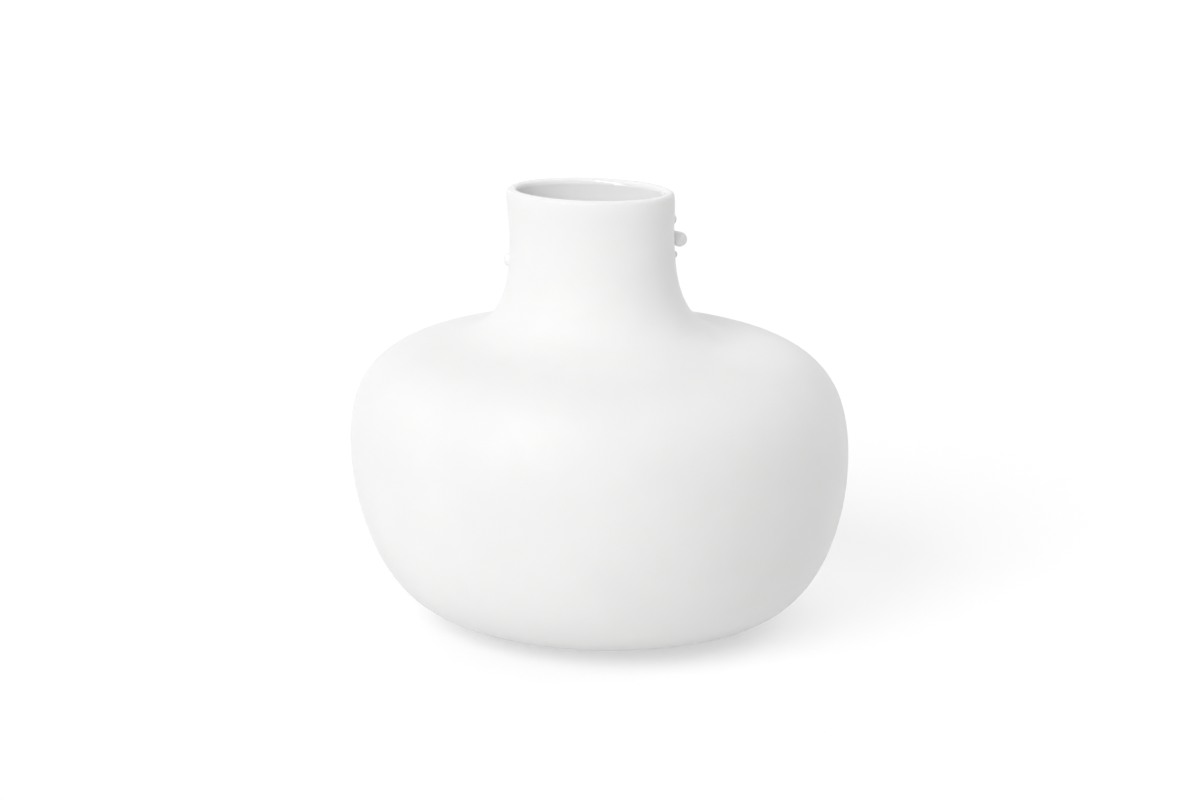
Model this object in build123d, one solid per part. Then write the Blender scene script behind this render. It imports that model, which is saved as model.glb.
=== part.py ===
from build123d import *
import math
import os

# A pillow vase of matte white porcelain: a broad cushion-shaped belly, an oval neck with a rounded lip,
# a low oval foot ring, a glossy glaze lining, and small reliefs luted to the back of the neck.
# Millimetres. X runs along the width, the plain face looks towards -Y, Z is up from the table.

# Belly
BELLY_WIDTH = 220.0
BELLY_DEPTH = 178.0
WIDEST_HEIGHT = 73.8
SHOULDER_RISE = 53.5
WALL = 4.5
FLOOR = 6.0

# Exponents of the belly's rounded quarters: the higher the reach exponent, the flatter the top or the
# underside; a swell exponent of 2 makes the side as round as an ellipse
SHOULDER_REACH = 5.1
SHOULDER_SWELL = 2.8
UNDERSIDE_REACH = 5.9
UNDERSIDE_SWELL = 1.6

# Foot ring
FOOT_HEIGHT = 2.5
FOOT_BAND = 5.0
FOOT_MARGIN = 1.0
FOOT_EDGE = 0.8
UNDERSIDE_WIDTH = 92.0

# Neck: the shoulder turns up at the root, draws in to the throat and opens a little at the rim
ROOT_WIDTH = 132.5
ROOT_RISE = 40.5
NECK_WIDTH = 73.4
NECK_DEPTH = 43.2
NECK_RISE = 64.8
RIM_FLARE = 0.4
LIP_FLAT = 0.7
SEAM_RISE = 6.0

# Glaze lining: its thickness on the walls, and where it thins out at the lip
GLAZE = 0.6
GLAZE_EDGE = 0.15

# Reliefs: each motif of the garland is a button, a drop below it and a bead below that. The garland goes
# round the back of the neck, and falls a little from its first motif to its last
MOTIFS = 5
GARLAND_START = 22.0
GARLAND_END = 169.0
GARLAND_FALL = 13.0
MOTIF_GAP = 1.0
BUTTON_BELOW_RIM = 12.8
BUTTON_RADIUS = 2.7
BUTTON_STAND = 1.5
DROP_RADIUS = 3.2
DROP_POINT = 5.4
DROP_STAND = 6.0
BEAD_RADIUS = 1.6
BEAD_POINT = 2.2
BEAD_STAND = 1.6
POINT_SINK = 0.4

# Places that follow from the sizes above
CROWN_HEIGHT = WIDEST_HEIGHT + SHOULDER_RISE
RIM_HEIGHT = CROWN_HEIGHT + NECK_RISE
THROAT_HEIGHT = CROWN_HEIGHT + ROOT_RISE
SEAM_HEIGHT = CROWN_HEIGHT + SEAM_RISE
UNDERSIDE_DEPTH = UNDERSIDE_WIDTH * BELLY_DEPTH / BELLY_WIDTH
LIP_RADIUS = (WALL - LIP_FLAT) / 2
LIP_HEIGHT = RIM_HEIGHT - LIP_RADIUS


class Form:
    """The vase's outer surface (inset 0), or a surface inside it, as half-widths and half-depths by height."""

    def __init__(self, inset, floor, lip_turn, thinning=0):
        self.lip_turn = lip_turn
        self.lip_aside = RIM_FLARE + thinning
        self.half_width = BELLY_WIDTH / 2 - inset
        self.half_depth = BELLY_DEPTH / 2 - inset
        self.neck_width = NECK_WIDTH / 2 - inset
        self.neck_depth = NECK_DEPTH / 2 - inset
        self.rise = SHOULDER_RISE - inset
        self.base = FOOT_HEIGHT + floor
        foot_share = UNDERSIDE_WIDTH / BELLY_WIDTH
        flat_share = (1 - foot_share**UNDERSIDE_REACH) ** (1 / UNDERSIDE_SWELL)
        self.fall = (WIDEST_HEIGHT - self.base) / flat_share
        self.foot_share = foot_share
        self.root_share = ROOT_WIDTH / 2 / self.half_width
        # The shoulder's height and slope where the neck's root leaves it
        left = 1 - self.root_share**SHOULDER_REACH
        self.root_height = WIDEST_HEIGHT + self.rise * left ** (1 / SHOULDER_SWELL)
        slope = self.rise / self.half_width * SHOULDER_REACH / SHOULDER_SWELL
        slope *= self.root_share ** (SHOULDER_REACH - 1) * left ** (1 / SHOULDER_SWELL - 1)
        self.turn_height = self.root_height + slope * (ROOT_WIDTH / 2 - self.neck_width)

    def belly(self, share, height):
        return height, self.half_width * share, self.half_depth * share

    def lower(self, turn):
        """Lower belly: turn 0 at the underside, 1 at the widest line."""
        start = math.acos(self.foot_share ** (UNDERSIDE_REACH / 2))
        angle = start * (1 - turn)
        share = math.cos(angle) ** (2 / UNDERSIDE_REACH)
        return self.belly(share, WIDEST_HEIGHT - self.fall * math.sin(angle) ** (2 / UNDERSIDE_SWELL))

    def upper(self, turn):
        """Shoulder: turn 0 at the widest line, 1 at the neck's root."""
        angle = math.acos(self.root_share ** (SHOULDER_REACH / 2)) * turn
        share = math.cos(angle) ** (2 / SHOULDER_REACH)
        return self.belly(share, WIDEST_HEIGHT + self.rise * math.sin(angle) ** (2 / SHOULDER_SWELL))

    def root(self, turn):
        """Neck root: a curve that leaves along the shoulder and arrives upright at the throat."""
        away = (1 - turn) ** 2
        height = away * self.root_height + 2 * turn * (1 - turn) * self.turn_height + turn**2 * THROAT_HEIGHT
        width = self.neck_width + away * (ROOT_WIDTH / 2 - self.neck_width)
        depth = self.neck_depth + away * (self.half_depth * self.root_share - self.neck_depth)
        return height, width, depth

    def neck(self, turn):
        """Neck above the throat: turn 0 at the throat, 1 where the lip's round begins."""
        flare = self.lip_aside * turn**2
        height = THROAT_HEIGHT + (LIP_HEIGHT - THROAT_HEIGHT) * turn
        return height, self.neck_width + flare, self.neck_depth + flare

    def lip(self, turn):
        """Round of the lip: the outside turns in towards the rim, and the inside turns out to it."""
        angle = math.pi / 2 * turn
        aside = self.lip_aside + self.lip_turn * LIP_RADIUS * (1 - math.cos(angle))
        return LIP_HEIGHT + LIP_RADIUS * math.sin(angle), self.neck_width + aside, self.neck_depth + aside

    def at(self, height):
        """Half-width and half-depth of the neck at a height above its root."""
        if height >= THROAT_HEIGHT:
            return self.neck((height - THROAT_HEIGHT) / (LIP_HEIGHT - THROAT_HEIGHT))[1:]
        bend = self.root_height - 2 * self.turn_height + THROAT_HEIGHT
        climb = self.turn_height - self.root_height
        turn = (math.sqrt(climb**2 + bend * (height - self.root_height)) - climb) / bend
        return self.root(turn)[1:]

    def solid(self):
        """The solid that this surface bounds, from its base to the rim."""
        steps = [self.lower(i / 6) for i in range(6)]
        steps += [self.upper(i / 6) for i in range(6)]
        steps += [self.root(i / 5) for i in range(5)]
        steps += [self.neck(i / 2) for i in range(2)]
        steps += [self.lip(i / 4) for i in range(5)]
        rings = [Plane.XY.offset(z) * Ellipse(x, y) for z, x, y in steps]
        return loft(rings)


OUTSIDE = Form(0, 0, -1)
INSIDE = Form(WALL, FLOOR, 1)
LINED = Form(WALL + GLAZE, FLOOR + GLAZE, 1, GLAZE - GLAZE_EDGE)


def block(bottom, top):
    """A block wider than the vase, between two heights."""
    return Pos(0, 0, bottom) * Box(
        2 * BELLY_WIDTH, 2 * BELLY_DEPTH, top - bottom, align=(Align.CENTER, Align.CENTER, Align.MIN)
    )


def make_foot():
    """Low oval ring luted to the flat of the underside."""
    half_width = UNDERSIDE_WIDTH / 2 - FOOT_MARGIN
    half_depth = UNDERSIDE_DEPTH / 2 - FOOT_MARGIN
    band = Ellipse(half_width, half_depth) - Ellipse(half_width - FOOT_BAND, half_depth - FOOT_BAND)
    ring = extrude(band, FOOT_HEIGHT)
    return fillet(ring.edges().group_by(Axis.Z)[0], FOOT_EDGE)


def seat_plane(angle, height):
    """Plane on the neck's outside: Z points outwards, Y up along the neck."""
    turn = math.radians(angle)
    width, depth = OUTSIDE.at(height)
    width_above, depth_above = OUTSIDE.at(height + 1)
    place = Vector(width * math.cos(turn), depth * math.sin(turn), height)
    above = Vector(width_above * math.cos(turn), depth_above * math.sin(turn), height + 1)
    across = Vector(-width * math.sin(turn), depth * math.cos(turn), 0)
    return Plane(origin=place, x_dir=across, z_dir=across.cross(above - place))


def teardrop(radius, point):
    """A drop about Y: a ball at the origin, drawn out upwards to a point."""
    touch = math.acos(radius / point)
    side = (touch + math.pi) / 2
    shoulder = (radius * math.sin(touch), radius * math.cos(touch))
    outline = Polyline((0, -radius), (0, point), shoulder)
    outline += ThreePointArc(shoulder, (radius * math.sin(side), radius * math.cos(side)), (0, -radius))
    return revolve(make_face(outline), Axis.Y)


def make_button():
    return Pos(0, 0, BUTTON_STAND - BUTTON_RADIUS) * Sphere(BUTTON_RADIUS)


def make_drop(radius, point, stand):
    """A drop that leans out, with its point sunk in the neck and its ball standing off it."""
    lean = math.degrees(math.asin((stand - radius + POINT_SINK) / point))
    return Pos(0, 0, stand - radius) * Rot(-lean, 0, 0) * teardrop(radius, point)


def make_motif(angle, fall):
    """Button, drop and bead of one motif, each cut to seat on the neck."""
    button_height = RIM_HEIGHT - BUTTON_BELOW_RIM - fall
    drop_height = button_height - BUTTON_RADIUS - MOTIF_GAP - DROP_POINT
    bead_height = drop_height - DROP_RADIUS - MOTIF_GAP - BEAD_POINT
    reliefs = {
        "button": seat_plane(angle, button_height) * make_button(),
        "drop": seat_plane(angle, drop_height) * make_drop(DROP_RADIUS, DROP_POINT, DROP_STAND),
        "bead": seat_plane(angle, bead_height) * make_drop(BEAD_RADIUS, BEAD_POINT, BEAD_STAND),
    }
    return {name: relief - outside for name, relief in reliefs.items()}


outside = OUTSIDE.solid()
inside = INSIDE.solid()
lined = LINED.solid()
shell = outside - inside
nodes = {
    "belly": shell & block(0, SEAM_HEIGHT),
    "neck": shell & block(SEAM_HEIGHT, 2 * RIM_HEIGHT),
    "foot_ring": make_foot(),
    "glaze_lining": (inside - lined) & block(0, LIP_HEIGHT),
}
for i in range(MOTIFS):
    along = i / (MOTIFS - 1)
    motif = make_motif(GARLAND_START + along * (GARLAND_END - GARLAND_START), along * GARLAND_FALL)
    for name, relief in motif.items():
        nodes[f"neck_{name}_{i + 1}"] = relief

os.makedirs("parts", exist_ok=True)
for name, solid in nodes.items():
    export_step(solid, f"parts/{name}.step")
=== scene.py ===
import math

import bpy
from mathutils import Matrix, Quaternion, Vector

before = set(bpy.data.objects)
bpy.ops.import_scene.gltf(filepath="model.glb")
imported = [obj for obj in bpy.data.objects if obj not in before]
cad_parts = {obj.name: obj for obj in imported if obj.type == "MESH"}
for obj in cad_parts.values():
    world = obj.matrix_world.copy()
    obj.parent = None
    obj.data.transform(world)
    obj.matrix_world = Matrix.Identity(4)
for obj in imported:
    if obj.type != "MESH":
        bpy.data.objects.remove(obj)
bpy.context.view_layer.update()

# Camera: a long lens, a little above the vase and to the right of its plain face, in metres and degrees
CAMERA_AZIMUTH = 20.5
CAMERA_ELEVATION = 17.25
CAMERA_DISTANCE = 1.4253
CAMERA_ROLL = -1.64
CAMERA_LENS = 99.0
AIM = Vector((0.0016, 0.0006, 0.0986))

# Light: a white room that lights the vase dimly, soft lamps as broad as parts of the sky, and a tall
# window that only shows in the gloss. Each lamp has an azimuth, an elevation and a width in degrees, and a
# strength. What is seen at a strength of 1 is white
WHITE = 1.0
ROOM_STRENGTH = 0.2
LAMPS = {
    "key_left": (-30.0, 36.0, 50.0, 1.42),
    "key_front": (-5.0, 36.0, 50.0, 0.64),
    "fill_left": (-130.0, 30.0, 60.0, 0.8),
    "fill_right": (110.0, 60.0, 60.0, 0.75),
    "fill_back": (145.0, 15.0, 60.0, 0.6),
}
LIGHT_DISTANCE = 2.0
WINDOW_AZIMUTH = -32.0
WINDOW_ELEVATION = 36.5
WINDOW_WIDTH = 0.22
WINDOW_HEIGHT = 2.2
WINDOW_POWER = 30.0

# Floor: its colour to the light, and what the camera sees, which is white of its own under a paler share of
# the light and shadow that fall on it
FLOOR_SIZE = 12.0
FLOOR_COLOUR = 0.92
FLOOR_SHADE = 0.5
FLOOR_WHITE = 0.54

# Places on the vase: the oval along the middle of the lip, the floor inside, and how high the glaze pooled
LIP_HALF_WIDTH = 0.03485
LIP_HALF_DEPTH = 0.01975
FLOOR_LEVEL = 0.0091
POOL_TOP = 3 * FLOOR_LEVEL

# Materials. Colours are linear red, green and blue, ranges go from low to high, noises are a cell's size in
# metres and a detail, and bumps are a depth in metres and a strength
NOISE_START = 0.3
NOISE_END = 0.7

BISQUE_COLOURS = (0.852, 0.852, 0.848), (0.872, 0.871, 0.867)
BISQUE_CLOUDS = 0.035, 3.0
BISQUE_ROUGHNESS = 0.52, 0.64
BISQUE_ROUGHNESS_NOISE = 0.009, 2.0
BISQUE_WAVES = 0.03, 1.0
BISQUE_WAVE_BUMP = 0.0004, 0.12
BISQUE_GRAIN = 0.0009, 2.0
BISQUE_GRAIN_BUMP = 0.00006, 0.25
BISQUE_SPECULAR = 0.35

# The lip's glaze ends between these shares of the lip's oval
LIP_GLAZED = 0.97
LIP_BARE = 1.06
LIP_COLOUR = (0.902, 0.902, 0.9)
LIP_ROUGHNESS = 0.07

GLAZE_COLOURS = (0.894, 0.895, 0.894), (0.91, 0.91, 0.907)
GLAZE_POOLED = (0.868, 0.881, 0.882)
GLAZE_CLOUDS = 0.05, 2.0
GLAZE_ROUGHNESS = 0.05, 0.09
GLAZE_ROUGHNESS_NOISE = 0.012, 2.0
GLAZE_WAVES = 0.014, 1.0
GLAZE_WAVE_BUMP = 0.0006, 0.12

FOOT_COLOURS = (0.8, 0.79, 0.765), (0.845, 0.838, 0.82)
FOOT_CLOUDS = 0.006, 3.0
FOOT_ROUGHNESS = 0.7, 0.85
FOOT_ROUGHNESS_NOISE = 0.003, 2.0
FOOT_MARKS = 0.0008, 2.0
FOOT_MARK_SQUASH = (1.0, 0.12, 1.0)
FOOT_MARK_BUMP = 0.0001, 0.4
FOOT_SPECULAR = 0.25

# The Mix node's sockets have the same names for each kind of data, so they are taken by number
MIX_COLOURS_IN = 6, 7
MIX_COLOUR_OUT = 2
MIX_VALUES_IN = 2, 3
MIX_VALUE_OUT = 0


def direction(azimuth, elevation):
    """Unit vector from the vase towards a place: azimuth 0 is in front of the plain face, elevation is up."""
    a, e = math.radians(azimuth), math.radians(elevation)
    return Vector((math.sin(a) * math.cos(e), -math.cos(a) * math.cos(e), math.sin(e)))


def make_camera():
    back = direction(CAMERA_AZIMUTH, CAMERA_ELEVATION)
    data = bpy.data.cameras.new("camera")
    data.lens = CAMERA_LENS
    camera = bpy.data.objects.new("camera", data)
    camera.location = AIM + back * CAMERA_DISTANCE
    camera.rotation_mode = "QUATERNION"
    roll = Quaternion((0, 0, 1), math.radians(CAMERA_ROLL))
    camera.rotation_quaternion = (-back).to_track_quat("-Z", "Y") @ roll
    bpy.context.scene.collection.objects.link(camera)
    bpy.context.scene.camera = camera


def place_light(data, azimuth, elevation, distance):
    light = bpy.data.objects.new(data.name, data)
    towards = direction(azimuth, elevation)
    light.location = AIM + towards * distance
    light.rotation_mode = "QUATERNION"
    light.rotation_quaternion = towards.to_track_quat("Z", "Y")
    bpy.context.scene.collection.objects.link(light)
    return light


def make_lights():
    for name, (azimuth, elevation, width, strength) in LAMPS.items():
        lamp = bpy.data.lights.new(name, "SUN")
        lamp.energy = strength
        lamp.angle = math.radians(width)
        place_light(lamp, azimuth, elevation, LIGHT_DISTANCE).visible_glossy = False
    window = bpy.data.lights.new("window", "AREA")
    window.shape = "RECTANGLE"
    window.size = WINDOW_WIDTH
    window.size_y = WINDOW_HEIGHT
    window.energy = WINDOW_POWER
    place_light(window, WINDOW_AZIMUTH, WINDOW_ELEVATION, LIGHT_DISTANCE).visible_diffuse = False


def viewed(tree):
    """Output that is 1 for rays from the camera and in gloss or glass, and 0 for those of plain light."""
    path = tree.nodes.new("ShaderNodeLightPath").outputs
    share = path["Is Camera Ray"]
    for ray in ("Is Glossy Ray", "Is Transmission Ray"):
        node = tree.nodes.new("ShaderNodeMath")
        node.operation = "MAXIMUM"
        tree.links.new(share, node.inputs[0])
        tree.links.new(path[ray], node.inputs[1])
        share = node.outputs["Value"]
    return share


def mix(tree, share, one, other):
    node = tree.nodes.new("ShaderNodeMixShader")
    tree.links.new(share, node.inputs["Fac"])
    tree.links.new(one, node.inputs[1])
    tree.links.new(other, node.inputs[2])
    return node.outputs["Shader"]


def make_room():
    """White where it is seen, and dimmer as a light."""
    world = bpy.data.worlds.new("room")
    bpy.context.scene.world = world
    world.use_nodes = True
    tree = world.node_tree

    def white(strength):
        node = tree.nodes.new("ShaderNodeBackground")
        node.inputs["Color"].default_value = (1, 1, 1, 1)
        node.inputs["Strength"].default_value = strength
        return node.outputs["Background"]

    tree.nodes.remove(tree.nodes["Background"])
    surface = tree.nodes["World Output"].inputs["Surface"]
    tree.links.new(mix(tree, viewed(tree), white(ROOM_STRENGTH), white(WHITE)), surface)


class Surface:
    """A principled material that is built up node by node on the vase's own coordinates, in metres."""

    def __init__(self, name):
        self.material = bpy.data.materials.new(name)
        self.material.use_nodes = True
        self.tree = self.material.node_tree
        self.shader = self.tree.nodes["Principled BSDF"]
        self.place = self.node("ShaderNodeTexCoord").outputs["Object"]

    def node(self, kind, **settings):
        node = self.tree.nodes.new(kind)
        for name, value in settings.items():
            setattr(node, name, value)
        return node

    def join(self, output, socket):
        self.tree.links.new(output, socket)

    def noise(self, cell, detail, squash=None):
        """Cloudy grain with cells of the given size in metres, squashed along the axes if asked."""
        node = self.node("ShaderNodeTexNoise")
        node.inputs["Scale"].default_value = 1 / cell
        node.inputs["Detail"].default_value = detail
        place = self.place
        if squash:
            mapping = self.node("ShaderNodeMapping")
            mapping.inputs["Scale"].default_value = squash
            self.join(place, mapping.inputs["Vector"])
            place = mapping.outputs["Vector"]
        self.join(place, node.inputs["Vector"])
        return node.outputs["Fac"]

    def remap(self, value, low, high, start=NOISE_START, end=NOISE_END):
        """Value that goes smoothly from low to high as the given one goes from start to end."""
        node = self.node("ShaderNodeMapRange", interpolation_type="SMOOTHSTEP")
        node.inputs["From Min"].default_value = start
        node.inputs["From Max"].default_value = end
        node.inputs["To Min"].default_value = low
        node.inputs["To Max"].default_value = high
        self.join(value, node.inputs["Value"])
        return node.outputs["Result"]

    def oval(self, half_width, half_depth):
        """Distance from the vase's axis as a share of a level oval's own: 1 on it and more outside it."""
        mapping = self.node("ShaderNodeMapping")
        mapping.inputs["Scale"].default_value = (1 / half_width, 1 / half_depth, 0)
        self.join(self.place, mapping.inputs["Vector"])
        length = self.node("ShaderNodeVectorMath", operation="LENGTH")
        self.join(mapping.outputs["Vector"], length.inputs[0])
        return length.outputs["Value"]

    def height(self):
        parts = self.node("ShaderNodeSeparateXYZ")
        self.join(self.place, parts.inputs["Vector"])
        return parts.outputs["Z"]

    def blend(self, share, one, other):
        """Colour that goes from one to the other as the share goes from 0 to 1."""
        node = self.node("ShaderNodeMix", data_type="RGBA")
        self.join(share, node.inputs["Factor"])
        for number, colour in zip(MIX_COLOURS_IN, (one, other)):
            if isinstance(colour, tuple):
                node.inputs[number].default_value = (*colour, 1)
            else:
                self.join(colour, node.inputs[number])
        return node.outputs[MIX_COLOUR_OUT]

    def mix_value(self, share, one, other):
        """Value that goes from one output to a plain number as the share goes from 0 to 1."""
        node = self.node("ShaderNodeMix", data_type="FLOAT")
        self.join(share, node.inputs["Factor"])
        first, second = MIX_VALUES_IN
        self.join(one, node.inputs[first])
        node.inputs[second].default_value = other
        return node.outputs[MIX_VALUE_OUT]

    def bump(self, relief, depth, strength, below=None):
        """Normal of a relief, on top of the one below it if there is one."""
        node = self.node("ShaderNodeBump")
        node.inputs["Distance"].default_value = depth
        node.inputs["Strength"].default_value = strength
        self.join(relief, node.inputs["Height"])
        if below:
            self.join(below, node.inputs["Normal"])
        return node.outputs["Normal"]

    def finish(self, colour, roughness, normal):
        self.join(colour, self.shader.inputs["Base Color"])
        self.join(roughness, self.shader.inputs["Roughness"])
        self.join(normal, self.shader.inputs["Normal"])
        return self.material


def bisque_surface(name, lip=False):
    """Fired, unglazed porcelain: matte, with faint clouds, fine grain and slow waves from hand fettling."""
    surface = Surface(name)
    clouds = surface.remap(surface.noise(*BISQUE_CLOUDS), 0, 1)
    colour = surface.blend(clouds, *BISQUE_COLOURS)
    roughness = surface.remap(surface.noise(*BISQUE_ROUGHNESS_NOISE), *BISQUE_ROUGHNESS)
    waves = surface.bump(surface.noise(*BISQUE_WAVES), *BISQUE_WAVE_BUMP)
    normal = surface.bump(surface.noise(*BISQUE_GRAIN), *BISQUE_GRAIN_BUMP, waves)
    surface.shader.inputs["Specular IOR Level"].default_value = BISQUE_SPECULAR
    if lip:
        share = surface.oval(LIP_HALF_WIDTH, LIP_HALF_DEPTH)
        glazed = surface.remap(share, 1, 0, LIP_GLAZED, LIP_BARE)
        colour = surface.blend(glazed, colour, LIP_COLOUR)
        roughness = surface.mix_value(glazed, roughness, LIP_ROUGHNESS)
    return surface.finish(colour, roughness, normal)


def glaze_surface():
    """Clear gloss glaze over white porcelain, a little wavy, and cooler where it pooled on the floor."""
    surface = Surface("glaze")
    clouds = surface.remap(surface.noise(*GLAZE_CLOUDS), 0, 1)
    wall = surface.blend(clouds, *GLAZE_COLOURS)
    pooled = surface.remap(surface.height(), 1, 0, FLOOR_LEVEL, POOL_TOP)
    colour = surface.blend(pooled, wall, GLAZE_POOLED)
    roughness = surface.remap(surface.noise(*GLAZE_ROUGHNESS_NOISE), *GLAZE_ROUGHNESS)
    normal = surface.bump(surface.noise(*GLAZE_WAVES), *GLAZE_WAVE_BUMP)
    return surface.finish(colour, roughness, normal)


def foot_surface():
    """Bare porcelain ground flat: warmer, rough, with fine grinding marks across it."""
    surface = Surface("foot")
    clouds = surface.remap(surface.noise(*FOOT_CLOUDS), 0, 1)
    colour = surface.blend(clouds, *FOOT_COLOURS)
    roughness = surface.remap(surface.noise(*FOOT_ROUGHNESS_NOISE), *FOOT_ROUGHNESS)
    normal = surface.bump(surface.noise(*FOOT_MARKS, FOOT_MARK_SQUASH), *FOOT_MARK_BUMP)
    surface.shader.inputs["Specular IOR Level"].default_value = FOOT_SPECULAR
    return surface.finish(colour, roughness, normal)


def dress(name, material):
    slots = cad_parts[name].data.materials
    slots.clear()
    slots.append(material)


def dress_vase():
    bisque = bisque_surface("bisque")
    special = {
        "neck": bisque_surface("bisque_with_glazed_lip", lip=True),
        "foot_ring": foot_surface(),
        "glaze_lining": glaze_surface(),
    }
    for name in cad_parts:
        dress(name, special.get(name, bisque))


def floor_surface():
    """White floor: plain to the light, and mostly white to the camera and in gloss, with a paler shadow."""
    material = bpy.data.materials.new("white_floor")
    material.use_nodes = True
    tree = material.node_tree
    tree.nodes.remove(tree.nodes["Principled BSDF"])
    output = tree.nodes["Material Output"]

    def diffuse(grey):
        node = tree.nodes.new("ShaderNodeBsdfDiffuse")
        node.inputs["Color"].default_value = (grey, grey, grey, 1)
        return node.outputs["BSDF"]

    def white(strength):
        node = tree.nodes.new("ShaderNodeEmission")
        node.inputs["Strength"].default_value = strength
        return node.outputs["Emission"]

    seen = tree.nodes.new("ShaderNodeAddShader")
    tree.links.new(diffuse(FLOOR_SHADE), seen.inputs[0])
    tree.links.new(white(FLOOR_WHITE), seen.inputs[1])
    surface = mix(tree, viewed(tree), diffuse(FLOOR_COLOUR), seen.outputs["Shader"])
    tree.links.new(surface, output.inputs["Surface"])
    return material


def make_floor():
    bpy.ops.mesh.primitive_plane_add(size=FLOOR_SIZE)
    floor = bpy.context.object
    floor.name = "floor"
    floor.data.materials.append(floor_surface())


make_camera()
make_lights()
make_room()
make_floor()
dress_vase()
bpy.context.scene.view_settings.view_transform = "Standard"
